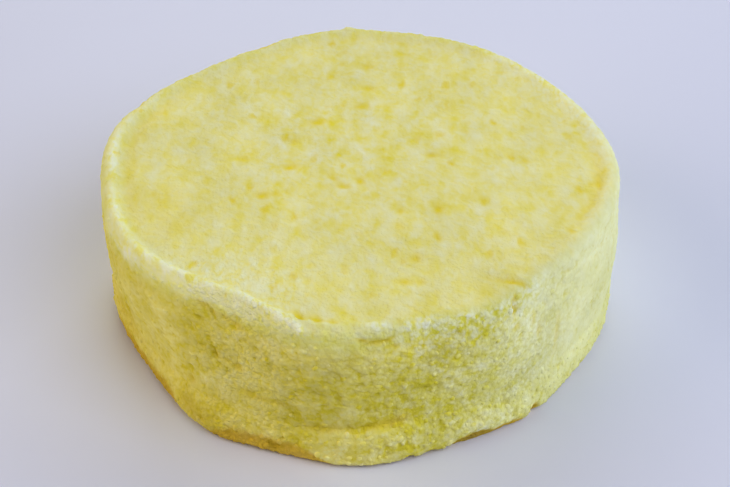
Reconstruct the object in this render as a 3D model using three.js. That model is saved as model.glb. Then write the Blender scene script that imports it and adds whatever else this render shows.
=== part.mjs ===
// A small round cheesecake coated all over in fine sponge crumbs, standing on a thin sponge base.
// Millimetres, +Z up. The origin is the middle of the underside, -Y is the cake's front and +X its right.
// Each node is one closed solid, lofted from rings of points that run round the cake.
import * as THREE from "three";

const { clamp, lerp, smoothstep } = THREE.MathUtils;

// Driving dimensions.
const FIELD_HEIGHT = 38.4; // from the underside to the flat of the top
const BASE_HEIGHT = 10; // thickness of the sponge base in the middle
const SEGMENTS = 96; // points in each ring

// Edges and small shapes.
const FOOT_ROUND = 2.4; // radius under the edge of the base
const SEAM_ROUND = 1.2; // height of the rounding above the seam, and of the one below it
const RIM_ROUND = 2.2; // radius from the wall over to the crest of the lip
const LIP_WIDTH = 3.4; // from the crest of the lip in to the flat of the top
const BASE_PROUD = 0.7; // how far the base stands out past the cheese
const BASE_BELLY = 0.4; // and how much further it swells at half its height
const TOP_SAG = 0.35; // how far the middle of the top has sunk

// Rows of points along each stretch of the profile.
const ARC_STEPS = 4;
const SEAM_STEPS = 3;
const BASE_STEPS = 3;
const WALL_STEPS = 6;
const LIP_STEPS = 3;
const TOP_SHARES = [0.16, 0.32, 0.48, 0.64, 0.79, 0.91]; // of the flat's radius
const SEAM_SHARES = [0.88, 0.45]; // of the seam's radius

// The plan is a circle of about 60 mm, pulled into soft corners by the film that wrapped the cake.
// Each pair is an angle in degrees and the value there, and the value eases from each pair to the next.
const RIM_RADIUS = turns([
  [-151, 61.5],
  [-119, 57.9],
  [-99, 62.3],
  [-76, 59.9],
  [-62, 60.6],
  [-43, 57.6],
  [0, 61.1],
  [30, 60.4],
  [66, 62.4],
  [80, 62.3],
  [94, 63.0],
  [133, 58.8],
  [168, 61.6],
  [188, 60.3],
]);
const FOOT_RADIUS = turns([
  [-145, 56.3],
  [-120, 59.8],
  [-108, 59.6],
  [-90, 60.2],
  [-70, 57.9],
  [-50, 58.5],
  [-33, 58.1],
  [-8, 60.0],
  [25, 59.2],
  [80, 60.3],
  [130, 57.8],
  [175, 59.6],
]);
const WALL_BOW = turns([
  [-100, 0.3],
  [-12, 1.4],
  [90, 0.5],
  [172, 0.8],
]);
const LIP_HEIGHT = turns([
  [-150, 1.0],
  [-122, 0.6],
  [-101, 1.3],
  [-86, 0.3],
  [-76, 0.6],
  [-50, 0.1],
  [-12, 0.9],
  [40, 0.6],
  [93, 0.9],
  [112, 0.5],
  [170, 1.0],
]);
const SEAM_HEIGHT = turns([
  [-125, 9.3],
  [-74, 12.4],
  [-10, 9.8],
  [60, 10.6],
  [120, 9.6],
  [165, 10.4],
]);
const CREASE_DEPTH = turns([
  [-125, 0.6],
  [-92, 1.4],
  [-60, 0.5],
  [10, 0.7],
  [90, 0.5],
  [170, 1.1],
]);

// A closed curve over the whole turn: a function of the angle in radians that levels off at each pair.
function turns(pairs) {
  const wrap = (deg) => ((deg % 360) + 360) % 360;
  const stops = pairs.map(([deg, value]) => ({ deg: wrap(deg), value }));
  stops.sort((a, b) => a.deg - b.deg);
  return (angle) => {
    const here = wrap(THREE.MathUtils.radToDeg(angle));
    const passed = stops.filter(({ deg }) => deg <= here).length;
    const start = stops.at(passed - 1);
    const end = stops[passed % stops.length];
    const along = wrap(here - start.deg) / wrap(end.deg - start.deg);
    return lerp(start.value, end.value, smoothstep(along, 0, 1));
  };
}

// The wall leans from the foot's plan to the rim's, and bows out between them.
function wallRadius(angle, height) {
  const rise = smoothstep(height, FOOT_ROUND, FIELD_HEIGHT - RIM_ROUND);
  return lerp(FOOT_RADIUS(angle), RIM_RADIUS(angle), rise) + WALL_BOW(angle) * Math.sin(Math.PI * rise);
}

function baseRadius(angle, height) {
  const up = clamp(height / SEAM_HEIGHT(angle), 0, 1);
  return wallRadius(angle, height) + BASE_PROUD + BASE_BELLY * Math.sin(Math.PI * up);
}

function creaseRadius(angle) {
  return wallRadius(angle, SEAM_HEIGHT(angle)) - CREASE_DEPTH(angle);
}

// The flat of the top isn't quite flat: it sags and carries two slow waves, which die down at the rim.
function fieldHeight(angle, share) {
  const x = share * Math.cos(angle);
  const y = share * Math.sin(angle);
  const waves = 0.25 * Math.sin(3.1 * x - 1.4 * y + 0.6) + 0.2 * Math.cos(2.2 * x + 3.7 * y);
  return FIELD_HEIGHT - TOP_SAG * (1 - share * share) + waves * (1 - 0.5 * share);
}

// A row of a loft is a function of the angle that gives the radius and height of its points.
const pole = (height) => () => ({ radius: 0, height });

// Shares of a stretch, from its start up to but not including its end, which starts the next stretch.
const shares = (count) => Array.from({ length: count }, (_, step) => step / count);

// A rounding that starts level with the wall at `from` and ends flat at `to`, as a quarter of an ellipse.
function rounding(count, from, to) {
  return shares(count).map((share) => (angle) => {
    const turn = (share * Math.PI) / 2;
    const start = from(angle);
    const end = to(angle);
    return {
      radius: lerp(end.radius, start.radius, Math.cos(turn)),
      height: lerp(start.height, end.height, Math.sin(turn)),
    };
  });
}

// The seam between base and cheese, from its crease in to the middle. Both solids share these rows.
const crease = (angle) => ({ radius: creaseRadius(angle), height: SEAM_HEIGHT(angle) });

function seamRows() {
  const inner = SEAM_SHARES.map((share) => (angle) => ({
    radius: share * creaseRadius(angle),
    height: lerp(BASE_HEIGHT, SEAM_HEIGHT(angle), share ** 4),
  }));
  return [crease, ...inner, pole(BASE_HEIGHT)];
}

// From the middle of the underside, round the foot, up the edge and over to the seam.
function baseRows() {
  const edgePoint = (angle, height) => ({ radius: baseRadius(angle, height), height });
  const edgeTop = (angle) => edgePoint(angle, SEAM_HEIGHT(angle) - SEAM_ROUND);
  const edgeFoot = (angle) => edgePoint(angle, FOOT_ROUND);
  const underside = (angle) => ({ radius: edgeFoot(angle).radius - FOOT_ROUND, height: 0 });
  const foot = rounding(ARC_STEPS, edgeFoot, underside).reverse();
  const edge = shares(BASE_STEPS).slice(1).map((share) => (angle) => {
    return edgePoint(angle, lerp(FOOT_ROUND, edgeTop(angle).height, share));
  });
  return [pole(0), underside, ...foot, ...edge, ...rounding(SEAM_STEPS, edgeTop, crease), ...seamRows()];
}

// From the middle of the top, over the lip, down the wall and in along the seam.
function cheeseRows() {
  const rimRadius = (angle) => wallRadius(angle, FIELD_HEIGHT);
  const flatRadius = (angle) => rimRadius(angle) - RIM_ROUND - LIP_WIDTH;
  const crestHeight = (angle) => fieldHeight(angle, 1) + LIP_HEIGHT(angle);
  const crest = (angle) => ({ radius: rimRadius(angle) - RIM_ROUND, height: crestHeight(angle) });
  const wallPoint = (angle, height) => ({ radius: wallRadius(angle, height), height });
  const wallTop = (angle) => wallPoint(angle, crestHeight(angle) - RIM_ROUND);
  const wallFoot = (angle) => wallPoint(angle, SEAM_HEIGHT(angle) + SEAM_ROUND);
  const flat = TOP_SHARES.map((share) => (angle) => ({
    radius: share * flatRadius(angle),
    height: fieldHeight(angle, share),
  }));
  const lip = shares(LIP_STEPS).map((share) => (angle) => ({
    radius: flatRadius(angle) + share * LIP_WIDTH,
    height: lerp(fieldHeight(angle, 1), crestHeight(angle), smoothstep(share, 0, 1)),
  }));
  const rim = rounding(ARC_STEPS, wallTop, crest).reverse();
  const wall = shares(WALL_STEPS).slice(1).map((share) => (angle) => {
    return wallPoint(angle, lerp(wallTop(angle).height, wallFoot(angle).height, share));
  });
  const tuck = rounding(SEAM_STEPS, wallFoot, crease);
  return [pole(fieldHeight(0, 0)), ...flat, ...lip, crest, ...rim, ...wall, ...tuck, ...seamRows()];
}

// A closed surface through rows that run from pole to pole. Rows that start at the underside face out
// as they stand, and those that start at the top are turned round.
function loft(rows, startsAtTop) {
  const positions = [];
  const corners = [];
  const rings = rows.map((row, level) => {
    const isPole = level === 0 || level === rows.length - 1;
    return Array.from({ length: SEGMENTS }, (_, step) => {
      if (step === 0 || !isPole) {
        const angle = (2 * Math.PI * step) / SEGMENTS;
        const { radius, height } = row(angle);
        positions.push(radius * Math.cos(angle), radius * Math.sin(angle), height);
      }
      return positions.length / 3 - 1;
    });
  });
  const addTriangle = (a, b, c) => {
    if (a !== b && b !== c) corners.push(...(startsAtTop ? [a, c, b] : [a, b, c]));
  };
  for (let level = 0; level + 1 < rings.length; level += 1) {
    for (let step = 0; step < SEGMENTS; step += 1) {
      const next = (step + 1) % SEGMENTS;
      addTriangle(rings[level][step], rings[level][next], rings[level + 1][next]);
      addTriangle(rings[level + 1][next], rings[level + 1][step], rings[level][step]);
    }
  }
  const geometry = new THREE.BufferGeometry();
  geometry.setAttribute("position", new THREE.Float32BufferAttribute(positions, 3));
  geometry.setIndex(corners);
  geometry.computeVertexNormals();
  return geometry;
}

function spongeBase() {
  const material = new THREE.MeshStandardMaterial({ color: "#dccb6c", roughness: 0.95, metalness: 0 });
  const mesh = new THREE.Mesh(loft(baseRows(), false), material);
  mesh.name = "sponge_base";
  return mesh;
}

function cheeseBody() {
  const material = new THREE.MeshStandardMaterial({ color: "#e6dd90", roughness: 0.95, metalness: 0 });
  const mesh = new THREE.Mesh(loft(cheeseRows(), true), material);
  mesh.name = "cheese_body";
  return mesh;
}

const cake = new THREE.Group();
cake.add(spongeBase(), cheeseBody());

// The plan is uneven, so it's moved until its box is centred on the origin.
const middle = new THREE.Box3().setFromObject(cake).getCenter(new THREE.Vector3());
for (const mesh of cake.children) mesh.geometry.translate(-middle.x, -middle.y, 0);

export default cake;
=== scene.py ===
"""The looks of a small round cheesecake: a coat of fine sponge crumbs over cream, on a thin sponge base.

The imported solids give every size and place. An even grid is laid over each solid as its skin. The hollows
and ridges that a hand left are pressed into it. Geometry Nodes add the relief of packed crumbs and strew
loose crumbs over it.
"""
import math

import bpy
import numpy as np
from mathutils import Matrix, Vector
from mathutils.bvhtree import BVHTree


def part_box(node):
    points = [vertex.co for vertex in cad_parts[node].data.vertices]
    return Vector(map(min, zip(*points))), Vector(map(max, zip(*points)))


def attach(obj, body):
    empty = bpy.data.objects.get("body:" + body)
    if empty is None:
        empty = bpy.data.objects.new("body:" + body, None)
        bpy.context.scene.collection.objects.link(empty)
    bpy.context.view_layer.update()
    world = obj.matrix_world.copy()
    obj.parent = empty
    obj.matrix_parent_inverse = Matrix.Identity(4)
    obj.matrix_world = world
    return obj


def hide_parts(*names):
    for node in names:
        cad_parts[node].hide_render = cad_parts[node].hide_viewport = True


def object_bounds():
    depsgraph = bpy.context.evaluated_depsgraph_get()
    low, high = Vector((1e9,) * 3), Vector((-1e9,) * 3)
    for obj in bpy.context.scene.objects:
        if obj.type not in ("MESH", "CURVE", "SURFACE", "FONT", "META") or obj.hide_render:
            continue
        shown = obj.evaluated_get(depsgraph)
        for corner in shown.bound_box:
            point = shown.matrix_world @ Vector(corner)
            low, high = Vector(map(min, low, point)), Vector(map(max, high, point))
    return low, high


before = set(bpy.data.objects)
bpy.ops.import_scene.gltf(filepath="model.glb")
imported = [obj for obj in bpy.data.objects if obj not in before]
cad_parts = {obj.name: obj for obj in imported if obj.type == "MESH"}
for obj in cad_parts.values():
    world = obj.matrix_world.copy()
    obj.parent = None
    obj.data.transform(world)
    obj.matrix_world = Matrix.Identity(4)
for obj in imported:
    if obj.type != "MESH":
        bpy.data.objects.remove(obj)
cad_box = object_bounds()

MM = 0.001
TURN = 2 * math.pi

# ---------------------------------------------------------------------------------------------------------
# Node trees
# ---------------------------------------------------------------------------------------------------------


class Value:
    """A number that a node gives out. Sums written with it add Math nodes to its tree."""

    def __init__(self, graph, socket):
        self.graph = graph
        self.socket = socket

    def __add__(self, other):
        return self.graph.math("ADD", self, other)

    def __sub__(self, other):
        return self.graph.math("SUBTRACT", self, other)

    def __rsub__(self, other):
        return self.graph.math("SUBTRACT", other, self)

    def __mul__(self, other):
        return self.graph.math("MULTIPLY", self, other)

    def __truediv__(self, other):
        return self.graph.math("DIVIDE", self, other)

    def __rtruediv__(self, other):
        return self.graph.math("DIVIDE", other, self)

    __radd__ = __add__
    __rmul__ = __mul__


class Graph:
    """Adds nodes to a shader tree or a geometry tree."""

    def __init__(self, tree):
        self.tree = tree

    def node(self, kind, settings=None, values=None, output=0):
        """One node: its settings first, then the values or links of its sockets, by name or number."""
        node = self.tree.nodes.new(kind)
        for name, setting in (settings or {}).items():
            setattr(node, name, setting)
        for name, value in (values or {}).items():
            if isinstance(value, Value):
                self.tree.links.new(value.socket, node.inputs[name])
            else:
                node.inputs[name].default_value = value
        return Value(self, node.outputs[output])

    def math(self, operation, first, second):
        return self.node("ShaderNodeMath", {"operation": operation}, {0: first, 1: second})

    def noise(self, where, size, detail=2.0, roughness=0.5, output=0):
        """Cloudy noise whose blobs are about size metres across: 0 to 1, with a mean of a half."""
        values = {"Vector": where, "Scale": 1 / size, "Detail": detail, "Roughness": roughness}
        return self.node("ShaderNodeTexNoise", None, values, output)

    def bent(self, where, size, amount):
        """Places pushed about by clouds of one size, so that shapes drawn at them lose their even edges."""
        push = self.noise(where, size, 2.0, 0.5, 1)
        push = self.vector("SUBTRACT", push, (0.5, 0.5, 0.5))
        return self.vector("ADD", where, self.vector("SCALE", push, scale=amount))

    def cells(self, where, size):
        """Crumb-like cells: (distance from the nearest middle, own number), both about 0 to 1."""
        away = self.node("ShaderNodeTexVoronoi", None, {"Vector": where, "Scale": 1 / size})
        own = self.node("ShaderNodeSeparateXYZ", None, {0: Value(self, away.socket.node.outputs["Color"])})
        return away, own

    def ease(self, value, start, end):
        """0 up to start, 1 from end on, and smooth between them."""
        values = {"Value": value, "From Min": start, "From Max": end}
        return self.node("ShaderNodeMapRange", {"interpolation_type": "SMOOTHSTEP"}, values)

    def laid(self, wall, place, pattern):
        """A pattern that is drawn out on the top, and as it is on the wall."""
        over = pattern(self.vector("MULTIPLY", place, GRAIN_STRETCH))
        beside = pattern(self.vector("ADD", place, GRAIN_SHIFT))
        return over + (beside - over) * wall

    def vector(self, operation, first, second=None, scale=None):
        values = {0: first}
        if second is not None:
            values[1] = second
        if scale is not None:
            values["Scale"] = scale
        return self.node("ShaderNodeVectorMath", {"operation": operation}, values)

    def mix(self, share, first, second):
        """A colour part of the way from first to second."""
        settings = {"data_type": "RGBA", "clamp_factor": True}
        return self.node("ShaderNodeMix", settings, {0: share, 6: first, 7: second}, output=2)


class GeometryTree(Graph):
    """A geometry tree with named inputs, which is run on an object and leaves a plain mesh."""

    SOCKETS = {float: "NodeSocketFloat", int: "NodeSocketInt", bpy.types.Material: "NodeSocketMaterial"}

    def __init__(self, name, inputs):
        super().__init__(bpy.data.node_groups.new(name, "GeometryNodeTree"))
        sockets = self.tree.interface
        sockets.new_socket("Geometry", in_out="OUTPUT", socket_type="NodeSocketGeometry")
        sockets.new_socket("Geometry", in_out="INPUT", socket_type="NodeSocketGeometry")
        for label, kind in inputs.items():
            sockets.new_socket(label, in_out="INPUT", socket_type=self.SOCKETS[kind])
        self.entry = self.tree.nodes.new("NodeGroupInput")
        self.geometry = self["Geometry"]
        self.position = self.node("GeometryNodeInputPosition")
        self.normal = self.node("GeometryNodeInputNormal")

    def __getitem__(self, label):
        return Value(self, self.entry.outputs[label])

    def attribute(self, name, kind="FLOAT"):
        return self.node("GeometryNodeInputNamedAttribute", {"data_type": kind}, {"Name": name})

    def store(self, geometry, name, value, domain="POINT"):
        settings = {"data_type": "FLOAT", "domain": domain}
        values = {"Geometry": geometry, "Name": name, "Value": value}
        return self.node("GeometryNodeStoreNamedAttribute", settings, values)

    def offset(self, geometry, offset):
        return self.node("GeometryNodeSetPosition", None, {"Geometry": geometry, "Offset": offset})

    def random(self, low, high, seed):
        values = {2: low, 3: high, "Seed": seed}
        return self.node("FunctionNodeRandomValue", {"data_type": "FLOAT"}, values, output=1)

    def finish(self, geometry, material):
        """The tree's end: real mesh in one material."""
        geometry = self.node("GeometryNodeRealizeInstances", None, {"Geometry": geometry})
        geometry = self.node("GeometryNodeSetShadeSmooth", None, {"Geometry": geometry})
        geometry = self.node("GeometryNodeSetMaterial", None, {"Geometry": geometry, "Material": material})
        exit_node = self.tree.nodes.new("NodeGroupOutput")
        self.tree.links.new(geometry.socket, exit_node.inputs["Geometry"])

    def run(self, piece, values):
        """Replaces the piece's mesh with what the tree makes of it."""
        modifier = piece.modifiers.new(self.tree.name, "NODES")
        modifier.node_group = self.tree
        for item in self.tree.interface.items_tree:
            if item.in_out == "INPUT" and item.name in values:
                modifier[item.identifier] = values[item.name]
        evaluated = piece.evaluated_get(bpy.context.evaluated_depsgraph_get())
        made = bpy.data.meshes.new_from_object(evaluated)
        piece.modifiers.remove(modifier)
        made.name = piece.name
        piece.data = made
        return piece


# ---------------------------------------------------------------------------------------------------------
# Skins: an even grid over each solid
# ---------------------------------------------------------------------------------------------------------

DISC_RINGS = 84  # rings of the grid from the middle of the broad face to its edge
SPOKES = 8 * DISC_RINGS  # points in the outer ring and in every row of the wall
EIGHTH_TURN = math.pi / 4
CHEESE_CORE = 6 * MM  # how far in from its surface each solid's core circle lies
SPONGE_CORE = 4 * MM
TUCK_TURN = 0.5  # how much of a quarter turn the skin goes in under the seam before it is out of sight
TUCK_END = 4  # how far along the profile the tuck ends
HIDDEN = 5  # how far along the points count as that lie on the hidden face of the seam
HIDDEN_SHARES = (0.96, 0.5)  # of the core circle, where the hidden face of the seam has rows


def disc_places():
    """(share of the radius, angle) of each point of a square grid drawn out into a disc, row by row."""
    places = []
    for row in range(-DISC_RINGS, DISC_RINGS + 1):
        for column in range(-DISC_RINGS, DISC_RINGS + 1):
            ring = max(abs(row), abs(column), 1)
            sideways = abs(column) >= abs(row)
            side, half_turn = (1, 0) if (column if sideways else row) > 0 else (-1, math.pi)
            if sideways:
                angle = EIGHTH_TURN * row / ring * side + half_turn
            else:
                angle = math.pi / 2 - EIGHTH_TURN * column / ring * side + half_turn
            share = max(abs(row), abs(column)) / DISC_RINGS
            places.append((share, angle % TURN))
    return places


def disc_faces():
    side = 2 * DISC_RINGS + 1
    starts = [row * side + column for row in range(side - 1) for column in range(side - 1)]
    return [(start, start + 1, start + side + 1, start + side) for start in starts]


class Rays:
    """Casts rays from inside a CAD solid out on to its surface. `up` is 1 if its broad face is the top and
    -1 if that is the underside, and a core circle lies `reach` in from its wall and its two faces."""

    def __init__(self, node, up, reach):
        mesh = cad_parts[node].data
        points = [vertex.co for vertex in mesh.vertices]
        self.tree = BVHTree.FromPolygons(points, [face.vertices for face in mesh.polygons])
        low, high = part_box(node)
        self.middle = (low[2] + high[2]) / 2
        self.up = up
        self.reach = reach
        self.angles = [spoke * TURN / SPOKES for spoke in range(SPOKES)]
        self.cores = [self.wall(angle) - reach for angle in self.angles]

    def hit(self, radius, angle, height, outward, upward):
        """Where a ray meets the surface. It starts at a radius, angle and height inside."""
        origin = Vector((radius * math.cos(angle), radius * math.sin(angle), height))
        way = Vector((outward * math.cos(angle), outward * math.sin(angle), upward))
        return self.tree.ray_cast(origin, way)[0]

    def wall(self, angle):
        return self.hit(0, angle, self.middle, 1, 0).xy.length

    def core(self, angle):
        return np.interp(angle, self.angles + [TURN], self.cores + self.cores[:1])

    def face(self, share, angle):
        """A point of the broad face, at a share of the core circle's radius."""
        return self.hit(share * self.core(angle), angle, self.middle, 0, self.up)

    def rows(self, corner_rows, wall_rows, tuck_rows):
        """Rows from the broad face round its edge, along the wall and in under the seam. With each goes a
        number for how far along it is: 1 to 2 round the edge, 2 to 3 on the wall and 3 to 4 at the tuck."""
        spokes = list(zip(self.cores, self.angles))
        near = [self.face(1, angle).z - self.up * self.reach for angle in self.angles]
        seams = [self.hit(core, angle, self.middle, 0, -self.up).z for core, angle in spokes]
        far = [seam + self.up * self.reach for seam in seams]
        stretches = [
            (1, corner_rows, lambda share: (share * math.pi / 2, 0)),
            (2, wall_rows, lambda share: (math.pi / 2, share)),
            (3, tuck_rows, lambda share: ((1 + TUCK_TURN * share) * math.pi / 2, 1)),
        ]
        for start, count, place in stretches:
            for step in range(count):
                share = (step + 1) / count
                lean, across = place(share)
                heights = [a + (b - a) * across for a, b in zip(near, far)]
                row = [
                    self.hit(core, angle, height, math.sin(lean), self.up * math.cos(lean))
                    for (core, angle), height in zip(spokes, heights)
                ]
                yield start + share, row
        for share in HIDDEN_SHARES:
            row = [self.hit(share * core, angle, self.middle, 0, -self.up) for core, angle in spokes]
            yield HIDDEN, row


def lay_skin(name, node, up, reach, corner_rows, wall_rows, tuck_rows):
    """A closed, evenly gridded copy of a CAD solid. Each point knows how far along the profile it is."""
    rays = Rays(node, up, reach)
    places = disc_places()
    points = [rays.face(share, angle) for share, angle in places]
    along = [share for share, _ in places]
    faces = disc_faces()
    edge = [index for index, (share, _) in enumerate(places) if share == 1]
    previous = sorted(edge, key=lambda index: places[index][1])
    for far_along, row in rays.rows(corner_rows, wall_rows, tuck_rows):
        current = list(range(len(points), len(points) + SPOKES))
        points += row
        along += [far_along] * SPOKES
        faces += bridge(previous, current)
        previous = current
    middle = len(points)
    points.append(rays.hit(0, 0, rays.middle, 0, -up))
    along.append(HIDDEN)
    faces += [(a, middle, b) for a, b in zip(previous, previous[1:] + previous[:1])]
    mesh = bpy.data.meshes.new(name)
    mesh.from_pydata(points, [], faces)
    if up < 0:
        mesh.flip_normals()
    mesh.attributes.new("along", "FLOAT", "POINT").data.foreach_set("value", along)
    skin = bpy.data.objects.new(name, mesh)
    bpy.context.scene.collection.objects.link(skin)
    return skin


def bridge(upper, lower):
    """Quads between two rings of point numbers."""
    pairs = zip(upper, lower, lower[1:] + lower[:1], upper[1:] + upper[:1])
    return list(pairs)


# ---------------------------------------------------------------------------------------------------------
# What the hand left: marks, the lip and where the cream shows, with painted light and shade
# ---------------------------------------------------------------------------------------------------------

SEAM_REACH = 5  # millimetres above and below the seam within which the wall is drawn to it
SEAM_PROBE = 1.6 * MM  # how far above and below the seam each wall's radius is taken
SEAM_INSIDE = 0.9  # share of the core circle at which the seam's height is taken
BRINK_HEIGHT = 4.6  # millimetres from the top row of the wall up to the brink of the rim
TOP_MARKS_END = 1.6  # how far along the profile the marks of each kind start or end
WALL_MARKS_START = 1.4
LIP_MARKS_END = 1.95
BANDS_END = 1.98


class Seam:
    """Where cheese and sponge meet: its heights and the radii halfway between their walls."""

    def __init__(self):
        cheese = Rays("cheese_body", 1, CHEESE_CORE)
        sponge = Rays("sponge_base", -1, SPONGE_CORE)
        self.degrees = np.arange(-180, 180, 2.0)
        self.heights = []
        self.radii = []
        for angle in np.radians(self.degrees):
            height = cheese.hit(SEAM_INSIDE * cheese.core(angle), angle, cheese.middle, 0, -1).z
            above = cheese.hit(0, angle, height + SEAM_PROBE, 1, 0).xy.length
            below = sponge.hit(0, angle, height - SEAM_PROBE, 1, 0).xy.length
            self.heights.append(height / MM)
            self.radii.append((above + below) / 2 / MM)


def read(data, field, width=1):
    """The values of a mesh as an array, with width of them to a row."""
    values = np.empty(len(data) * width)
    data.foreach_get(field, values)
    return values if width == 1 else values.reshape(-1, width)


class Points:
    """The points of a skin as arrays, in millimetres and degrees, and a height to press them by."""

    def __init__(self, skin):
        self.mesh = skin.data
        self.places = read(self.mesh.vertices, "co", 3)
        self.normals = read(self.mesh.vertex_normals, "vector", 3)
        self.along = read(self.mesh.attributes["along"].data, "value")
        self.seen = self.along < HIDDEN
        self.angle = np.degrees(np.arctan2(self.places[:, 1], self.places[:, 0]))
        self.height = np.zeros(len(self.along))
        self.measure()

    def bell(self, u, v, length, width, turn=0):
        """1 at u = v = 0, and fading within length and width, with the length turned anticlockwise."""
        c, s = math.cos(math.radians(turn)), math.sin(math.radians(turn))
        return np.exp(-(((u * c + v * s) / length) ** 2) - ((v * c - u * s) / width) ** 2)

    def on_top(self, x, y, length, width, turn):
        return self.bell(self.x - x, self.y - y, length, width, turn) * (self.along < TOP_MARKS_END)

    def round_way(self, angle):
        """How far round the cake each point lies from an angle."""
        return np.radians(between(self.angle, angle)) * self.radius

    def on_wall(self, angle, height, length, width, turn):
        mark = self.bell(self.round_way(angle), self.z - height, length, width, turn)
        return mark * (self.along > WALL_MARKS_START)

    def on_lip(self, angle, inset, length, width, turn):
        mark = self.bell(self.round_way(angle), inset - self.inset, length, width, turn)
        return mark * (self.along < LIP_MARKS_END)

    def band(self, inset, width):
        """1 all the way round the top, some way in from its edge."""
        return np.exp(-(((self.inset - inset) / width) ** 2)) * (self.along < BANDS_END)

    def shoulder(self, depth):
        """1 at the brink of the rim, fading down the wall over a depth and soon over the top."""
        return np.where(self.inset < 0, smooth(1 + self.inset / depth), self.band(0, 1.8))

    def arc(self, start, end, fade=6):
        """1 between two angles, going anticlockwise, and fading over some degrees at both ends."""
        half = ((end - start) % 360) / 2
        off = np.abs(between(self.angle, start + half))
        return 1 - smooth((off - half) / fade + 0.5)

    def close_seam(self, seam, overlap):
        """Brings the wall to one radius at the seam and laps its edge over it, as crumbs cover it. At the
        back it is closed a little less."""
        height = np.interp(self.angle, seam.degrees, seam.heights, period=360)
        target = np.interp(self.angle, seam.degrees, seam.radii, period=360)
        closed = 0.97 - 0.2 * self.arc(60, 130, 40)
        near = smooth(1 - np.abs(self.z - height) / SEAM_REACH) * (self.along > 1.9) * self.seen
        drawn = closed * near * (target / self.radius.clip(1) - 1)
        self.places[:, :2] *= (1 + drawn)[:, None]
        tuck = smooth(self.along - 3) * self.seen
        self.places[:, 2] += closed * tuck * (height + overlap - self.z) * MM

    def sink_edge(self, depth):
        """Draws the edge at the seam in, so that it goes in behind the piece that laps over it."""
        tuck = smooth((self.along - 3.3) / 0.7) * self.seen
        self.places[:, :2] *= (1 - tuck * depth / self.radius.clip(1))[:, None]

    def flare(self, width):
        """Spreads the foot out towards the floor, by a width that is given for each point."""
        low = 1 - smooth((self.z - 1) / 10)
        rim = smooth((self.along - 1.1) / 0.4) * self.seen
        self.places[:, :2] *= (1 + width * low * rim / self.radius.clip(1))[:, None]

    def measure(self):
        """Takes the places again after they have been moved. The inset is how far in from the wall a point
        lies, and it is negative down the wall."""
        self.x, self.y, self.z = (self.places / MM).T
        self.radius = np.hypot(self.x, self.y)
        wall = self.along == 2
        order = np.argsort(self.angle[wall])
        angles = self.angle[wall][order]
        edge = np.interp(self.angle, angles, self.radius[wall][order], period=360)
        brink = np.interp(self.angle, angles, self.z[wall][order], period=360) + BRINK_HEIGHT
        down = (brink - self.z).clip(0) * (self.along > 1)
        self.inset = edge - self.radius - down

    def press(self):
        """Moves the points by their heights. They go out level on the wall, so that both pieces meet at the
        seam, and the way out is kept for the relief."""
        level = self.places * (1, 1, 0) / (self.radius * MM).clip(0.1 * MM)[:, None]
        share = (smooth((self.along - 1.6) / 0.4) * self.seen)[:, None]
        outward = self.normals * (1 - share) + level * share
        moved = self.places + outward * (self.height * MM)[:, None]
        self.mesh.vertices.foreach_set("co", moved.ravel())
        kept = self.mesh.attributes.new("outward", "FLOAT_VECTOR", "POINT")
        kept.data.foreach_set("vector", outward.ravel())

    def keep(self, name, values):
        self.mesh.attributes.new(name, "FLOAT", "POINT").data.foreach_set("value", values)


def between(angles, angle):
    """The turn from angle to each of angles, from -180 to 180 degrees."""
    return (angles - angle + 180) % 360 - 180


def smooth(share):
    share = np.clip(share, 0, 1)
    return share * share * (3 - 2 * share)


# Marks on the top: x, y, length, width, turn, height.
TOP_MARKS = [
    (-22.6, -12.9, 1.5, 1.7, 0, -0.4),
    (-10.7, 18.0, 2.0, 1.5, 10, -0.4),
    (0.0, 25.0, 1.7, 1.2, 0, -0.35),
    (2.0, 33.5, 1.4, 1.3, 0, -0.3),
    (1.6, 44.0, 1.6, 1.8, 0, -0.25),
    (-16.6, -1.5, 1.8, 1.4, 20, -0.4),
    (-4.2, -9.4, 1.9, 1.1, -15, -0.35),
    (-6.4, -6.2, 1.6, 0.8, -55, -0.3),
    (-0.1, -7.2, 1.0, 1.6, 0, -0.4),
    (9.0, -19.2, 0.8, 1.1, 0, -0.3),
    (8.6, -25.0, 1.2, 1.6, 0, -0.2),
    (16.7, 3.2, 1.6, 1.1, -10, -0.35),
    (17.6, -18.6, 1.2, 1.8, 0, -0.4),
    (12.1, -36.3, 1.2, 1.5, 0, -0.35),
    (9.3, -37.4, 0.9, 1.1, 0, -0.25),
    (9.6, -44.3, 1.4, 1.2, 0, -0.35),
    (12.8, -44.4, 0.9, 1.1, 0, -0.25),
    (-28.0, 2.0, 1.2, 1.5, 0, -0.25),
    (-16.0, 9.5, 1.1, 1.4, 0, -0.25),
    (19.0, 12.0, 1.3, 1.2, 0, -0.25),
    (55.0, -8.5, 3.6, 0.9, 96, -0.35),
    (32.0, -42.2, 7.0, 1.0, -28, 0.35),
    (34.0, -44.9, 5.0, 1.0, -12, -0.4),
    (31.5, -15.7, 15.0, 2.2, -48, 0.3),
]

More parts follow.
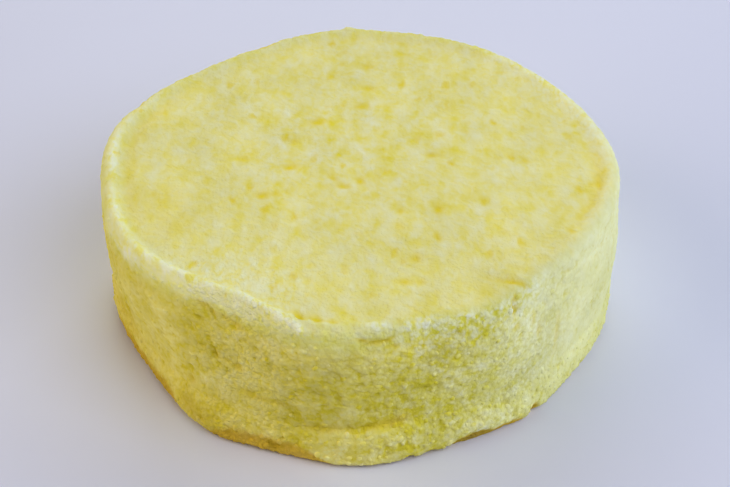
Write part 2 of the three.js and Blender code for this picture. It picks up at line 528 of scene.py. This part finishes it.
# Marks on the wall: angle, height, length, width, turn, height of the mark.
WALL_MARKS = [
    (-125.2, 34.4, 1.5, 0.9, -20, -0.4),
    (-122.6, 33.4, 0.9, 0.7, 0, -0.35),
    (-119.5, 33.2, 2.0, 0.7, -15, -0.3),
    (-116.4, 32.4, 1.1, 0.8, 0, -0.35),
    (-125.4, 24.0, 1.3, 0.7, -20, -0.2),
    (-121.9, 23.1, 1.1, 0.8, -20, -0.4),
    (-119.2, 22.6, 1.0, 0.6, 0, -0.3),
    (-116.4, 21.7, 1.3, 0.8, -15, -0.5),
    (-128.9, 12.1, 1.0, 1.0, 0, -0.6),
    (-89.4, 35.8, 1.4, 0.5, -18, -0.5),
    (-86.6, 35.0, 1.7, 0.5, 4, -0.65),
    (-84.2, 35.2, 1.3, 0.4, 12, -0.5),
    (-83.4, 33.6, 1.5, 0.4, -4, -0.35),
    (-113.4, 15.4, 2.4, 1.1, -10, -0.35),
    (-48.5, 24.5, 0.9, 1.8, 0, -0.2),
    (-56.0, 30.0, 0.9, 1.0, 0, -0.25),
    (-42.0, 20.0, 0.8, 4.5, -4, -0.18),
    (-50.5, 29.0, 0.7, 1.6, 0, -0.2),
    (-56.0, 36.0, 0.6, 2.6, -12, -0.9),
    (-107.0, 15.6, 5.5, 0.5, 3, -0.35),
    (-97.0, 10.8, 4.6, 1.2, 3, -0.4),
    (-88.0, 11.4, 4.0, 1.1, 6, -0.25),
    (-83.4, 11.8, 3.4, 1.3, 10, -0.65),
    (-90.0, 7.6, 12.0, 2.0, 5, 0.6),
    (-64.0, 6.0, 6.0, 2.6, 0, 0.5),
    (-68.3, 16.2, 1.2, 0.9, 0, 0.6),
    (-79.6, 0.9, 1.3, 0.8, 0, -0.7),
    (-75.2, 0.9, 1.3, 0.8, 0, -0.7),
    (-65.6, 0.6, 3.8, 1.9, 5, -2.8),
    (-57.4, 1.4, 3.2, 1.2, 4, -1.0),
    (-49.0, 1.6, 1.1, 1.6, 0, -1.2),
]

# Marks on the lip: angle, distance in from the wall, length, width, turn, height, whiteness. The whiteness
# is partly pale cream and partly a painted highlight.
LIP_MARKS = [
    (-105.5, 1.5, 4.6, 0.6, 12, 0.6, 2.2),
    (-101.8, 0.6, 1.0, 0.7, 15, 0.5, 2.6),
    (-102.4, 4.2, 1.8, 1.0, 45, -0.6, -0.6),
    (-98.8, 4.2, 1.4, 1.2, 30, -0.5, -0.4),
    (-95.6, 3.8, 1.2, 0.9, 0, -0.35, -0.2),
    (-78.0, 1.0, 3.2, 1.0, 0, 0.2, 1.4),
    (-68.0, 0.8, 1.4, 1.0, 0, 0.2, 0.9),
    (-87.0, 1.9, 2.8, 0.8, 5, 0.6, 2.0),
    (-113.5, 2.6, 3.4, 0.9, 10, 0.35, 1.2),
    (-124.0, 2.4, 3.2, 0.8, -5, 0.3, 1.0),
    (-147.0, 0.0, 3.0, 1.8, 0, 0.0, 1.2),
    (-134.0, 2.6, 3.4, 0.9, -10, 0.35, 1.3),
    (-143.0, 2.4, 3.5, 0.9, 10, 0.35, 1.3),
    (-158.0, 2.8, 6.0, 0.9, -5, 0.3, 1.0),
    (178.0, 3.0, 8.0, 0.9, 0, 0.3, 0.9),
    (93.0, 1.2, 1.6, 1.6, 0, 0.8, 0.6),
    (115.0, 0.8, 3.0, 1.4, 0, -0.4, 0.0),
    (157.0, 0.8, 2.6, 1.6, 0, -0.7, 0.0),
]


def press_wall(points):
    for angle, place, length, width, turn, height in WALL_MARKS:
        points.height += height * points.on_wall(angle, place, length, width, turn)


def keep_side_looks(points, painted_glow=0):
    """What cheese and sponge share at their sides, so that no colour or roughness jumps at the seam. Each
    look is a number kept on the points, set by their place on the cake. "light" is painted light and
    shade: it makes parts of the wall lighter or darker than the rest, and the painted glow adds to it.
    The cream on the pale side is partly a painted cast of cool light, and the gold low on the left is
    partly painted shade."""
    # The paler cream on the right side is partly real cream and partly a painted cast of the cool light
    # from the right.
    pale_and_lit_side = points.arc(-58, 24, 42)
    fall = 0.55 + 0.45 * smooth((points.z - 3) / 12)
    side = smooth((points.along - 1.05) / 0.5)
    points.keep("wall", smooth((points.along - 1.3 + 0.25 * points.arc(-75, 30, 14)) / 0.6))
    near_rim = smooth((points.z - 31) / 5)
    points.keep("lime", np.maximum(points.arc(-72, 30, 50), near_rim) * side)
    pale_foot = 0.35 * points.arc(-70, -54, 10) * smooth((9 - points.z) / 4)
    # Painted shade on the middle of the front wall: it darkens the wall there and takes a little cream
    # away.
    painted_front_shade = points.on_wall(-87, 22, 14, 9, 0)
    points.keep("cream", np.clip((0.95 * pale_and_lit_side * fall + pale_foot) * side, 0, 1) - 0.14 * painted_front_shade)
    smooth_sides = 0.5 * points.arc(-38, 40, 40) + 0.45 * points.arc(160, -126, 16)
    front_top = 0.9 * smooth((-15 - points.y) / 25) + 0.4 * smooth((-5 - points.x) / 30)
    points.keep("coarse", 0.36 + 0.64 * side * (1 - smooth_sides + 0.15 * points.arc(-134, -104, 14)))
    grain_side = 1 - smooth_sides + 1.4 * points.arc(-128, -104, 14)
    points.keep("grain", 0.4 * (1 + front_top) * (1 - side) + side * grain_side)
    low = 1 - smooth((points.z - 6) / 5)
    # Painted light and shade: painted shade on the right-front wall, a painted lighter patch low on the
    # front with painted shade beside it, and painted shade low on the left.
    painted_side_shade = 1.1 * points.arc(-60, -42, 14) * (1 - low)
    painted_foot_light = low * (1.3 * points.arc(-110, -94, 8) - 0.6 * points.arc(-88, -72, 8))
    painted_low_left_shade = points.arc(-172, -124, 14) * (1 - smooth(points.z / 11))
    points.keep("light", (painted_foot_light - painted_side_shade - 0.6 * painted_front_shade - 1.4 * painted_low_left_shade + painted_glow) * side)
    middle = points.bell(points.x + 6, points.y - 4, 24, 26) * (1 - side)
    dull_side = 0.3 * pale_and_lit_side + 0.2 * points.arc(150, -136, 16)
    points.keep("lively", 0.75 + 0.35 * middle - dull_side * side)
    points.keep("fleck", points.arc(-84, -44, 20) * side)
    # Deeper gold on the left: partly the crumbs' own colour and partly painted shade, most of all low down.
    far_left = points.arc(-176, -150, 14) * smooth(1.2 - points.z / 20)
    near_left = 0.6 * points.arc(-150, -106, 20) * (0.25 + 0.75 * smooth(1.3 - points.z / 13))
    points.keep("golden", (np.maximum(far_left, near_left) * (1 - near_rim) + 0.5 * painted_low_left_shade) * side)


def shape_cheese(skin, seam):
    points = Points(skin)
    points.close_seam(seam, -0.3)
    points.measure()
    white_and_highlight = np.zeros(len(points.height))
    for x, y, length, width, turn, height in TOP_MARKS:
        points.height += height * points.on_top(x, y, length, width, turn)
    press_wall(points)
    for angle, inset, length, width, turn, height, whiteness in LIP_MARKS:
        mark = points.on_lip(angle, inset, length, width, turn)
        points.height += height * mark
        white_and_highlight += whiteness * mark
    left_lip = points.arc(150, -100, 14)
    right_lip = points.arc(-30, 60, 16)
    right_back = points.arc(4, 54, 22)
    crest = points.band(2.6, 1.3)
    points.height += crest * (0.2 * left_lip + 0.1 * right_lip)
    groove = points.band(6.4, 1.5) * points.arc(150, -160, 14)
    groove += points.band(5.6, 1.8) * points.arc(-24, 6, 14)
    # The glow passed here is a painted highlight on the wall just under the rim at the left front.
    keep_side_looks(points, 2.0 * points.shoulder(4) * points.arc(-140, -88, 10))
    # A paler, lighter band under the lip: partly pale cream and partly a painted highlight.
    pale_lit_under_lip = 0.5 * points.shoulder(3) * points.arc(-158, -106, 12)
    pale_lit_under_lip += 0.45 * points.shoulder(9) * points.arc(-82, -46, 10)
    inside = 0.4 * points.band(11, 6) * points.arc(-134, -104, 12)
    inside += 0.25 * points.band(5, 3.5) * points.arc(-142, -104, 10)
    # The white look is partly pale cream on the lip and partly a painted highlight on its crest and on the
    # right-back rim; the shader also makes it lighter.
    edge = 0.55 * points.band(1.5, 4.5) * right_back
    white_lip = crest * (0.45 * left_lip + 0.3 * right_lip)
    points.keep("white_and_highlight", 0.6 * white_and_highlight + white_lip + pale_lit_under_lip + inside + edge)
    points.keep("shown", points.seen.astype(float))
    inner_gold = points.band(12.5, 6.5) * points.arc(-169, -146, 8)
    points.keep("mark", np.clip(-points.height / 0.5, 0.25 * groove + 0.24 * inner_gold, 1))
    points.height -= 0.4 * groove + 0.3 * points.band(0.2, 1.9) * points.arc(-84, -50, 16)
    points.height -= 0.8 * points.shoulder(8) * points.arc(-160, -46, 20)
    points.keep("browned_and_shaded", np.zeros(len(points.height)))
    points.press()


def shape_sponge(skin, seam):
    points = Points(skin)
    points.close_seam(seam, 0.3)
    points.sink_edge(0.35)
    foot = 0.9 * points.arc(-100, -54, 14) + 0.7 * points.arc(-146, -118, 14)
    foot += 0.5 * points.arc(-58, -46, 8)
    points.flare(foot + 0.3)
    points.measure()
    press_wall(points)
    keep_side_looks(points)
    points.keep("white_and_highlight", np.zeros(len(points.height)))
    points.keep("shown", smooth((points.along - 1.1) / 0.3) * points.seen)
    points.keep("mark", np.clip(-points.height / 0.5, 0, 1))
    # A brown strip at the foot: partly the sponge's browned skin and partly painted shade where the foot
    # turns under, most of all at the left.
    left_side, left_front = points.arc(-166, -134, 8), points.arc(-121, -99, 10)
    strip = 0.3 + 2.2 * left_side + 2.6 * left_front + 0.9 * points.arc(-70, -52, 6)
    browned_and_shaded = 1 - smooth((points.z - strip) / (1.2 + 3.4 * left_side + 4.5 * left_front))
    # Painted shade in the gaps under the foot.
    gaps = np.clip(-points.height / 0.6, 0, 1) * (points.z < 4)
    points.keep("browned_and_shaded", np.maximum(browned_and_shaded, gaps))
    points.press()


# ---------------------------------------------------------------------------------------------------------
# Relief and loose crumbs
# ---------------------------------------------------------------------------------------------------------

GRAIN_STRETCH = (1.0, 0.58, 1.0)  # crumbs brushed over the top lie a little longer from front to back
GRAIN_SHIFT = (0.0, 25.2 * MM, 0.0)  # brings the wall's pattern in line with the top's at the front


def crumb_relief():
    """Moves a skin's points along their normals: slow lumps, clumps of crumbs, single crumbs and pits."""
    sizes = ["Lump Size", "Lump Height", "Clump Size", "Clump Height", "Crumb Size", "Crumb Height"]
    sizes += ["Pit Size", "Pit Depth", "Pit Share"]
    inputs = dict.fromkeys(sizes, float)
    inputs["Finish"] = bpy.types.Material
    tree = GeometryTree("crumb_relief", inputs)
    shown = tree.attribute("shown")
    wall = tree.attribute("wall")
    rough = tree.attribute("coarse")
    outward = tree.attribute("outward", "FLOAT_VECTOR")

    def noise(size, shift, detail, roughness=0.5):
        place = tree.vector("ADD", tree.position, (shift, shift / GRAIN_STRETCH[1], shift))
        return tree.laid(wall, place, lambda where: tree.noise(where, size, detail, roughness))

    def cell_heights(where, size):
        away, own = tree.cells(tree.bent(where, size, size * 1.4), size)
        return (own - 0.5) * 1.1 + (0.45 - away) * 0.9

    def packed(size, shift):
        """Rounded cells that stand at heights of their own, bent out of true: about -1 to 1."""
        place = tree.vector("ADD", tree.position, (shift, shift / GRAIN_STRETCH[1], shift))
        return tree.laid(wall, place, lambda where: cell_heights(where, size))

    lumps = (noise(tree["Lump Size"], 0.1, 1.0) - 0.5) * 2 * tree["Lump Height"]
    clumps = (noise(tree["Clump Size"], 0.2, 3.0, 0.6) - 0.5) * 2 * tree["Clump Height"]
    crumbs = packed(tree["Crumb Size"], 0.5) * tree["Crumb Height"]
    grains = packed(tree["Crumb Size"] * 0.5, 0.6) * tree["Crumb Height"] * 0.6
    holes = noise(tree["Pit Size"], 0.3, 2.0, 0.5)
    flocks = noise(tree["Pit Size"] * 6, 0.4, 1.0)
    pit = tree.ease(holes + (flocks - 0.5) * 0.5, 1 - tree["Pit Share"], 1.12 - tree["Pit Share"])
    height = lumps + rough * (clumps + crumbs + grains - pit * tree["Pit Depth"])
    moved = tree.offset(tree.geometry, tree.vector("SCALE", outward, scale=height * shown))
    moved = tree.store(moved, "pit", pit)
    moved = tree.store(moved, "relief", (clumps + crumbs) / (tree["Clump Height"] + tree["Crumb Height"]))
    tree.finish(moved, tree["Finish"])
    return tree


def strewn_crumbs():
    """Strews crumbs over a skin: small lumps, each bent its own way, sunk part of their size into it."""
    sizes = ["Spacing", "Smallest", "Largest", "Flatness", "Sink"]
    inputs = dict.fromkeys(sizes, float)
    inputs["Seed"] = int
    inputs["Finish"] = bpy.types.Material
    tree = GeometryTree("strewn_crumbs", inputs)
    seed = tree["Seed"]
    scatter = {
        "Mesh": tree.geometry,
        "Distance Min": tree["Spacing"],
        "Density Max": 1 / (tree["Spacing"] * tree["Spacing"]),
        "Density Factor": tree.attribute("strewn"),
        "Seed": seed,
    }
    method = {"distribute_method": "POISSON"}
    points = tree.node("GeometryNodeDistributePointsOnFaces", method, scatter)
    facing = Value(tree, points.socket.node.outputs["Rotation"])
    size = tree.random(tree["Smallest"], tree["Largest"], seed + 1)
    spin = tree.node("ShaderNodeCombineXYZ", None, {"Z": tree.random(0.0, TURN, seed + 2)})
    facing = tree.node("FunctionNodeRotateRotation", {"rotation_space": "LOCAL"}, {0: facing, 1: spin})
    long_way = size * tree.random(1.0, 1.6, seed + 3)
    lengths = {"X": long_way, "Y": size, "Z": size * tree["Flatness"]}
    shape = tree.node("ShaderNodeCombineXYZ", None, lengths)
    lump = tree.node("GeometryNodeMeshIcoSphere", None, {"Radius": 0.5, "Subdivisions": 2})
    placing = {"Points": points, "Instance": lump, "Rotation": facing, "Scale": shape}
    crumbs = tree.node("GeometryNodeInstanceOnPoints", None, placing)
    crumbs = tree.store(crumbs, "tint", tree.random(-0.5, 0.5, seed + 4), "INSTANCE")
    sink = tree.node("ShaderNodeCombineXYZ", None, {"Z": tree["Sink"] * -1})
    moving = {"Instances": crumbs, "Translation": sink, "Local Space": True}
    crumbs = tree.node("GeometryNodeTranslateInstances", None, moving)
    crumbs = tree.node("GeometryNodeRealizeInstances", None, {"Geometry": crumbs})
    bending = {"Vector": tree.position, "Scale": 2.2 / tree["Largest"]}
    bend = tree.node("ShaderNodeTexNoise", None, bending, 1)
    bend = tree.vector("SUBTRACT", bend, (0.5, 0.5, 0.5))
    crumbs = tree.offset(crumbs, tree.vector("SCALE", bend, scale=tree["Largest"] * 0.2))
    tree.finish(crumbs, tree["Finish"])
    return tree


# ---------------------------------------------------------------------------------------------------------
# Materials
# ---------------------------------------------------------------------------------------------------------

PALE_CREAM = (0.93, 0.95, 0.68, 1)
CREAM = (0.95, 0.96, 0.72, 1)
TOP_YELLOW = (0.90, 0.79, 0.06, 1)
WALL_YELLOW = (0.91, 0.78, 0.05, 1)
LIME_YELLOW = (0.87, 0.82, 0.08, 1)
GOLD = (0.90, 0.74, 0.04, 1)
# Also used for painted shade in the gaps between crumbs and low on the left.
DEEP_GOLD = (0.86, 0.65, 0.03, 1)
# Brown of the foot's baked skin, also used as painted shade where the foot turns under.
BROWNED_AND_SHADED = (0.72, 0.46, 0.03, 1)

# Sizes of the colour patterns.
CRUMB = 1.0 * MM
FINE_CRUMB = 0.55 * MM
FLAKE = 1.9 * MM
PIT = 3.6 * MM
CLOUD = 4.2 * MM
SLOW_CLOUD = 10 * MM
PIT_CLOUD = 14 * MM


def matte_food(name):
    """A dry, matte food: (its material, node graph and shader)."""
    material = bpy.data.materials.new(name)
    material.use_nodes = True
    shader = material.node_tree.nodes["Principled BSDF"]
    shader.inputs["Roughness"].default_value = 0.9
    shader.inputs["Specular IOR Level"].default_value = 0.1
    return material, Graph(material.node_tree), shader


def crumbly(name, fine_relief=0.8):
    """Packed crumbs: cream shows between them in clouds, and the pits between them are golden. The gaps and
    pits between them also get painted shade: less cream, deeper gold and a darker tone. Their fine relief
    has a strength from 0 to 1."""
    material, graph, shader = matte_food(name)
    where = graph.node("ShaderNodeTexCoord", output=3)

    def kept(attribute):
        return graph.node("ShaderNodeAttribute", {"attribute_name": attribute}, output=2)

    wall = kept("wall")
    top = 1 - wall
    stretched = graph.vector("MULTIPLY", where, GRAIN_STRETCH)
    beside = graph.vector("ADD", where, GRAIN_SHIFT)
    away, own = graph.cells(graph.bent(stretched, 1.1 * MM, 0.9 * MM), CRUMB)
    wall_away, wall_own = graph.cells(graph.bent(beside, 1.1 * MM, 0.9 * MM), CRUMB)
    away = away + (wall_away - away) * wall
    own = own + (wall_own - own) * wall
    fine_away, _ = graph.cells(graph.bent(where, 0.5 * MM, 0.4 * MM), FINE_CRUMB)

    # Cream and yellow, in clouds, specks and single crumbs, with less cream in the gaps between them as
    # painted shade.
    clouds = graph.laid(wall, where, lambda place: graph.noise(place, CLOUD, 1.5, 0.5))
    clouds = (clouds - 0.5) * (1.1 - wall * 0.5)
    flaky = graph.bent(stretched, 2.0 * MM, 2.2 * MM)
    flakes = graph.noise(flaky, FLAKE, 1.4, 0.55)
    wall_flakes = graph.noise(graph.bent(beside, 2.0 * MM, 2.2 * MM), FLAKE, 1.4, 0.55)
    specks = flakes + (wall_flakes - flakes) * wall - 0.5
    specks = specks * (0.8 - wall * 0.15 + kept("fleck") * 0.9)
    brushing = {"Rotation": (0, 0, -0.7), "Scale": (1.9, 1, 1)}
    brushing["Vector"] = graph.bent(where, 7 * MM, 7 * MM)
    brushed = graph.node("ShaderNodeMapping", {"vector_type": "TEXTURE"}, brushing)
    strokes = (graph.noise(brushed, 1.7 * MM, 1.0, 0.5) - 0.5) * top
    bright = (own - 0.5) * (1.2 - away * 1.6) + (0.4 - away)
    crumbs = bright * (0.06 + wall * 0.05) + kept("tint") * (0.3 + kept("fleck") * 0.15)
    # Painted shade in the gaps and pits between crumbs: less cream, deeper gold and a darker tone.
    deep = kept("pit") * 0.8 - kept("relief") * 0.7 + (away - 0.5) * 0.8
    gap_shade = graph.math("MAXIMUM", deep, 0.0) * wall
    slow = graph.noise(stretched, SLOW_CLOUD, 3.0, 0.6) - 0.5
    whiteness = (clouds + specks + strokes * 0.45 + crumbs - gap_shade * 0.35) * kept("lively")
    whiteness = whiteness + kept("cream") * 0.41 + slow * wall * 0.5 + 0.44 - wall * 0.2
    yellow = graph.mix(kept("lime"), graph.mix(wall, TOP_YELLOW, WALL_YELLOW), LIME_YELLOW)
    whiteness = graph.math("MAXIMUM", graph.math("MINIMUM", whiteness, 1.0), 0.0)
    colour = graph.mix(whiteness, yellow, CREAM)

    # Soft golden pits on the top, golden marks, a deeper gold low on the left and a brown foot, both partly
    # painted shade, and pale crumbs along the lip, partly a painted highlight.
    pit_away, pit_own = graph.cells(flaky, PIT)
    chance = graph.noise(where, PIT_CLOUD, 1.0) * 1.2 + pit_own + kept("lively") * 0.5
    chosen = graph.ease(chance, 1.65, 2.0)
    pits = chosen * (1 - graph.ease(pit_away, 0.05, 0.42)) * top
    colour = graph.mix(pits * 0.85 + kept("mark") * (1.3 - wall * 0.7), colour, GOLD)
    colour = graph.mix(gap_shade * (0.15 + kept("golden") * 0.3), colour, DEEP_GOLD)
    # Partly painted shade: the gold low on the left deepens where the slow clouds are darker.
    golden = kept("golden") * (0.5 + clouds * 0.3 - slow * 1.5)
    colour = graph.mix(golden + kept("mark") * wall * 0.5, colour, DEEP_GOLD)
    browned_and_shaded = graph.ease(kept("browned_and_shaded") + (clouds + specks) * 0.3, 0.35, 1.0)
    colour = graph.mix(browned_and_shaded * 0.85, colour, BROWNED_AND_SHADED)
    colour = graph.mix(kept("white_and_highlight") * (0.72 + specks * 4 + bright * 1.1), colour, PALE_CREAM)

    # Slow random shades, a little deeper on the wall. Painted shade darkens the gaps and the marks on the
    # wall, the light look adds its painted light and shade, and the white look adds a painted highlight.
    shade = slow * (0.26 + wall * 0.3 - kept("lime") * 0.2)
    shade = (1 + shade) * (1 - gap_shade * kept("lively") * 0.16 - kept("mark") * wall * 0.08)
    shade = shade * (1 + kept("light") * 0.07 + kept("white_and_highlight") * 0.13 + (whiteness - 0.3) * wall * 0.16)
    shade = shade * (1 + bright * kept("fleck") * 0.08)
    colour = graph.vector("SCALE", colour, scale=shade)
    graph.tree.links.new(colour.socket, shader.inputs["Base Color"])

    # Fine relief: rounded crumbs on the wall, and dimples on the top.
    near, fine_near = (graph.math("MINIMUM", distance, 0.7) for distance in (away, fine_away))
    rounded = (1 - near * near) * 0.65 + (1 - fine_near * fine_near) * 0.35
    height = (rounded * (1 + top * 0.6) + strokes * 1.6) * kept("grain") - pits * 0.3
    relief = {"Strength": fine_relief, "Distance": 0.34 * MM, "Height": height}
    bump = graph.node("ShaderNodeBump", None, relief)
    graph.tree.links.new(bump.socket, shader.inputs["Normal"])
    return material


# ---------------------------------------------------------------------------------------------------------
# The cake
# ---------------------------------------------------------------------------------------------------------


RELIEF = {
    "Lump Size": 16 * MM, "Lump Height": 0.25 * MM,
    "Clump Size": 4.5 * MM, "Clump Height": 0.42 * MM,
    "Crumb Size": 1.7 * MM, "Crumb Height": 0.24 * MM,
    "Pit Size": 2.6 * MM, "Pit Depth": 0.35 * MM, "Pit Share": 0.4,
}


def make_cake():
    relief = crumb_relief()
    coat = crumbly("crumb_coat")
    sponge = crumbly("sponge_crumb")
    loose = crumbly("loose_crumb", 0.25)

    seam = Seam()
    cheese = lay_skin("cheese_coat", "cheese_body", 1, CHEESE_CORE, 19, 60, 8)
    shape_cheese(cheese, seam)
    relief.run(cheese, RELIEF | {"Finish": coat})

    base = lay_skin("sponge_foot", "sponge_base", -1, SPONGE_CORE, 14, 6, 9)
    shape_sponge(base, seam)
    relief.run(base, RELIEF | {"Finish": sponge})

    pieces = [(cheese, "cheese_body", "crumb_coat"), (base, "sponge_base", "sponge")]
    for piece, node, slot in pieces:
        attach(piece, "root")
        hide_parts(node)

    strew = strewn_crumbs()
    # Name, skin, where they lie, spacing, smallest and largest in millimetres, seed and slot.
    crumbs = [
        ("wall_crumbs", cheese, strewn_on_wall(cheese), 2.4, 0.8, 1.5, 11, "crumb_coat"),
        ("foot_crumbs", base, strewn_on_foot(base), 1.5, 0.7, 1.5, 15, "sponge"),
    ]
    for name, skin, where, spacing, smallest, largest, seed, slot in crumbs:
        piece = bpy.data.objects.new(name, skin.data.copy())
        bpy.context.scene.collection.objects.link(piece)
        piece.data.attributes.new("strewn", "FLOAT", "POINT").data.foreach_set("value", where)
        strew.run(piece, {
            "Spacing": spacing * MM, "Smallest": smallest * MM, "Largest": largest * MM,
            "Flatness": 0.8, "Sink": 0.26, "Seed": seed, "Finish": loose,
        })
        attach(piece, "root")


def strewn_on_wall(skin):
    points = Points(skin)
    thin_right = 0.7 - 0.7 * points.arc(-46, 40, 24)
    return smooth((points.along - 1.2) / 0.5) * (points.along < TUCK_END) * thin_right


def strewn_on_foot(skin):
    along = Points(skin).along
    return smooth((along - 1.35) / 0.2) * (along < TUCK_END)


# ---------------------------------------------------------------------------------------------------------
# Floor, light and camera
# ---------------------------------------------------------------------------------------------------------

FLOOR_HALF = 2.5  # metres
LAMP_SIZE = 0.8  # metres
CAMERA_ELEVATION = 37.5  # degrees
CAMERA_DISTANCE = 393.3  # millimetres
CAMERA_LENS = 80  # millimetres
SENSOR_WIDTH = 36  # millimetres

# Soft lights, a metre away: name, azimuth, elevation, power and colour. Azimuth 0 is +X and 90 is the back.
SOFTBOXES = [
    ("window", 90, 22, 5.4, (0.925, 0.975, 1.0)),
    ("front", 315, 50, 4.75, (0.98, 1.0, 1.0)),
    ("right", 0, 22, 3.35, (0.70, 0.82, 1.0)),
    ("left", 190, 30, 4.65, (1.0, 0.88, 0.66)),
]


def make_floor():
    mesh = bpy.data.meshes.new("floor")
    corners = [(-1, -1), (1, -1), (1, 1), (-1, 1)]
    mesh.from_pydata([(x * FLOOR_HALF, y * FLOOR_HALF, 0) for x, y in corners], [], [(0, 1, 2, 3)])
    material = bpy.data.materials.new("pale_floor")
    material.use_nodes = True
    shader = material.node_tree.nodes["Principled BSDF"]
    shader.inputs["Base Color"].default_value = (0.765, 0.78, 1.0, 1)
    shader.inputs["Roughness"].default_value = 0.6
    mesh.materials.append(material)
    floor = bpy.data.objects.new("floor", mesh)
    bpy.context.scene.collection.objects.link(floor)


def softbox(name, azimuth, elevation, power, colour):
    """A square soft light that looks at the cake."""
    light = bpy.data.lights.new(name, "AREA")
    light.size = LAMP_SIZE
    light.energy = power
    light.color = colour
    lamp = bpy.data.objects.new(name, light)
    turn, rise = math.radians(azimuth), math.radians(elevation)
    way = Vector((math.cos(turn) * math.cos(rise), math.sin(turn) * math.cos(rise), math.sin(rise)))
    lamp.location = way
    lamp.rotation_euler = way.to_track_quat("Z", "Y").to_euler()
    bpy.context.scene.collection.objects.link(lamp)


def make_lights():
    for lamp in SOFTBOXES:
        softbox(*lamp)
    world = bpy.data.worlds.new("studio")
    world.use_nodes = True
    background = world.node_tree.nodes["Background"]
    background.inputs["Color"].default_value = (1.0, 1.0, 0.95, 1)
    background.inputs["Strength"].default_value = 0.02
    bpy.context.scene.world = world


def make_camera():
    """Looks down on the cake's front from a few hand-lengths away."""
    elevation = math.radians(CAMERA_ELEVATION)
    back = Vector((0, -math.cos(elevation), math.sin(elevation)))
    top = cad_box[1][2]
    aim = Vector((1.04 * MM, -2.37 * MM, top / 2 - 3.7 * MM))
    camera = bpy.data.cameras.new("camera")
    camera.lens = CAMERA_LENS
    camera.sensor_width = SENSOR_WIDTH
    eye = bpy.data.objects.new("camera", camera)
    eye.location = aim + back * CAMERA_DISTANCE * MM
    eye.rotation_euler = back.to_track_quat("Z", "Y").to_euler()
    bpy.context.scene.collection.objects.link(eye)
    bpy.context.scene.camera = eye


def set_tones():
    """Plain tones, so that the pale yellow keeps its colour."""
    view = bpy.context.scene.view_settings
    view.view_transform = "Standard"
    view.look = "None"


make_camera()
make_cake()
make_floor()
make_lights()
set_tones()
